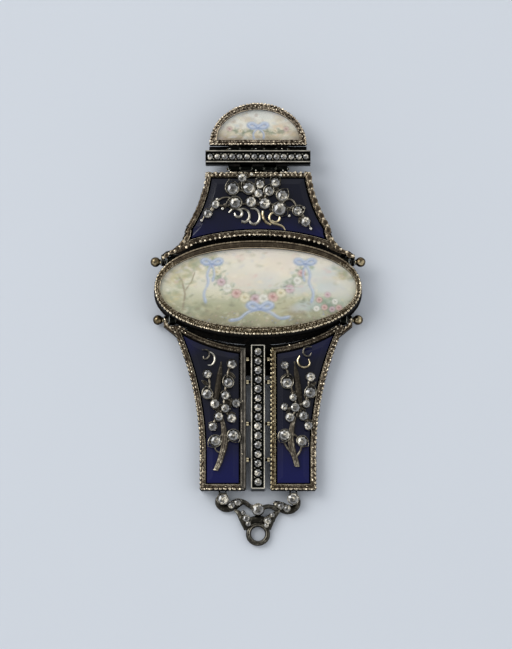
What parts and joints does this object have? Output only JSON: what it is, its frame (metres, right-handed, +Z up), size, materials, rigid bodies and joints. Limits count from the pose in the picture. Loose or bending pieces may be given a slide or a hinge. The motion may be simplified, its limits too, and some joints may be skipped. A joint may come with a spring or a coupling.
{
  "type": "chatelaine",
  "caption": "Hinged chain of silver-framed enamel panels and a painted oval, with stone-set sprays, a belt hook and an eye for a watch.",
  "frame": {"origin": "centre of the outline on the surface that the piece lies on", "axes": "+Y runs from the drop to the crest, +X to the viewer's right, +Z up out of the faces"},
  "size_m": [0.0538, 0.1122, 0.0078],
  "materials": {
    "darkened_silver": "darkened silver, chased rims worn bright",
    "spray_silver": "oxidised silver with bright edges",
    "gilt_pins": "dark gilt, polished on the balls",
    "cobalt_enamel": "deep blue translucent enamel, bevelled and glossy",
    "painted_plaque": "cream plaque with a soft painted scene",
    "clear_glass": "clear domed glass",
    "rose_cut_stones": "greyish white rose-cut stones with small bright facets"
  },
  "bodies": {
    "crest": {"crest_frame": "darkened_silver", "crest_miniature": "painted_plaque", "crest_glass": "clear_glass", "belt_hook": "darkened_silver"},
    "upper_bar": {"upper_bar": "darkened_silver", "upper_bar_stones": "rose_cut_stones", "crest_hinge_pin": "gilt_pins"},
    "upper_panel": {"upper_frame": "darkened_silver", "upper_enamel": "cobalt_enamel", "upper_spray": "spray_silver", "bar_hinge_pin": "gilt_pins", "upper_spray_stone_01": "rose_cut_stones", "upper_spray_stone_02": "rose_cut_stones", "upper_spray_stone_03": "rose_cut_stones", "upper_spray_stone_04": "rose_cut_stones", "upper_spray_stone_05": "rose_cut_stones", "upper_spray_stone_06": "rose_cut_stones", "upper_spray_stone_07": "rose_cut_stones", "upper_spray_stone_08": "rose_cut_stones", "upper_spray_stone_09": "rose_cut_stones", "upper_spray_stone_10": "rose_cut_stones", "upper_spray_stone_11": "rose_cut_stones", "upper_spray_stone_12": "rose_cut_stones", "upper_spray_stone_13": "rose_cut_stones", "upper_spray_stone_14": "rose_cut_stones", "upper_spray_stone_15": "rose_cut_stones", "upper_spray_stone_16": "rose_cut_stones"},
    "oval": {"oval_frame": "darkened_silver", "oval_miniature": "painted_plaque", "oval_glass": "clear_glass", "upper_ball_pin_left": "gilt_pins", "upper_ball_pin_right": "gilt_pins", "lower_ball_pin_left": "gilt_pins", "lower_ball_pin_right": "gilt_pins"},
    "lower_plates": {"left_frame": "darkened_silver", "right_frame": "darkened_silver", "lower_bar": "darkened_silver", "lower_bar_stones": "rose_cut_stones", "left_enamel": "cobalt_enamel", "right_enamel": "cobalt_enamel", "cross_pin_1": "gilt_pins", "cross_pin_2": "gilt_pins", "cross_pin_3": "gilt_pins", "cross_pin_4": "gilt_pins", "left_spray": "spray_silver", "right_spray": "spray_silver", "left_spray_stones": "rose_cut_stones", "right_spray_stones": "rose_cut_stones", "drop_pin_left": "gilt_pins", "drop_pin_right": "gilt_pins"},
    "drop": {"drop": "darkened_silver", "drop_stones": "rose_cut_stones"}
  },
  "joints": [
    {"name": "upper_side_hinge", "type": "hinge", "parent": "oval", "child": "upper_panel", "pos_m": [0, 0.0154, 0.0049], "axis": [1, 0, 0], "range_deg": [-15, 15]},
    {"name": "bar_hinge", "type": "hinge", "parent": "upper_panel", "child": "upper_bar", "pos_m": [0, 0.03932, 0.0049], "axis": [1, 0, 0], "range_deg": [0, 45]},
    {"name": "crest_hinge", "type": "hinge", "parent": "upper_bar", "child": "crest", "pos_m": [0, 0.04432, 0.0049], "axis": [1, 0, 0], "range_deg": [0, 40]},
    {"name": "lower_side_hinge", "type": "hinge", "parent": "oval", "child": "lower_plates", "pos_m": [0, 0.00129, 0.0017], "axis": [1, 0, 0], "range_deg": [-15, 15]},
    {"name": "drop_hinge", "type": "hinge", "parent": "lower_plates", "child": "drop", "pos_m": [0, -0.04304, 0.001], "axis": [1, 0, 0], "range_deg": [-12, 40]}
  ]
}
